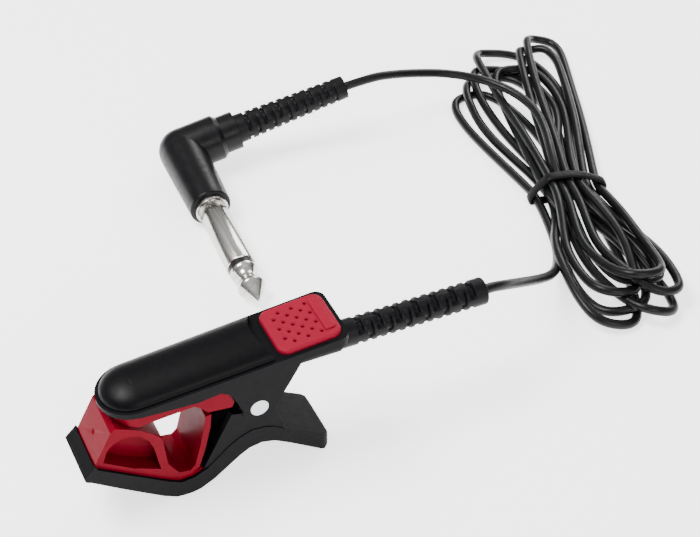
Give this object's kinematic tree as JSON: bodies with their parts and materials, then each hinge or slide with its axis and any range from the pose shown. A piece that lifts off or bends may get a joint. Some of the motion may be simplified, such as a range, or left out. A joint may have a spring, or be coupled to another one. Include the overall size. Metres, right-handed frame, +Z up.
{
  "type": "clip on tuner",
  "caption": "Spring clip with a contact microphone for a tuner, a ribbed strain relief, a thin cable tied in a hank and a right-angle 6.35 mm plug.",
  "frame": {"origin": "centre of the clip's own box in plan, on the surface that it stands on", "axes": "+X from the jaw tip to the cable exit, +Y across the clip, +Z up; the clip stands on the bend of its lower arm and the end of its lever"},
  "size_m": [0.1531, 0.1079, 0.0293],
  "materials": {
    "black_abs": "fine-textured black ABS",
    "satin_cover": "satin black",
    "red_pad": "matte red",
    "red_elastomer": "glossy deep red, slightly translucent",
    "screw_steel": "zinc plated",
    "brass": "satin",
    "ceramic": "silvered ceramic",
    "foam": "closed-cell foam",
    "lead_red": "wire insulation",
    "lead_black": "wire insulation",
    "cable_pvc": "semi-gloss black PVC",
    "boot_rubber": "satin black",
    "pin_steel": "satin",
    "spring_steel": "drawn wire",
    "tie_plastic": "flat coated tie",
    "plug_pvc": "moulded semi-gloss black",
    "nickel": "polished nickel plate",
    "insulator": "black nylon"
  },
  "bodies": {
    "lower_arm": {"lower_arm": "black_abs", "lower_jaw_insert": "red_elastomer", "torsion_spring": "spring_steel", "cable_lead": "cable_pvc", "cable_hank": "cable_pvc", "cable_tail": "cable_pvc", "hank_tie": "tie_plastic", "plug_housing": "plug_pvc", "plug_boot": "boot_rubber", "plug_sleeve": "nickel", "plug_insulator": "insulator", "plug_rod_insulator": "insulator", "plug_tip": "nickel", "ground_lug": "brass", "signal_lug": "brass"},
    "upper_arm": {"upper_housing": "black_abs", "top_cover": "satin_cover", "thumb_pad": "red_pad", "cover_screws": "screw_steel", "upper_jaw_liner": "red_elastomer", "piezo_plate": "brass", "piezo_ceramic": "ceramic", "damping_foam": "foam", "signal_lead": "lead_red", "ground_lead": "lead_black", "inner_cable": "cable_pvc", "cable_clamp": "screw_steel", "body_boot": "boot_rubber", "pivot_pin": "pin_steel"}
  },
  "joints": [
    {"name": "jaw_hinge", "type": "hinge", "parent": "lower_arm", "child": "upper_arm", "pos_m": [0.00745, 0, 0.01685], "axis": [0, 1, 0], "range_deg": [0, 22], "stiffness_Nm_per_rad": 0.02, "springref_deg": -17.19, "deforming": ["torsion_spring"]}
  ]
}
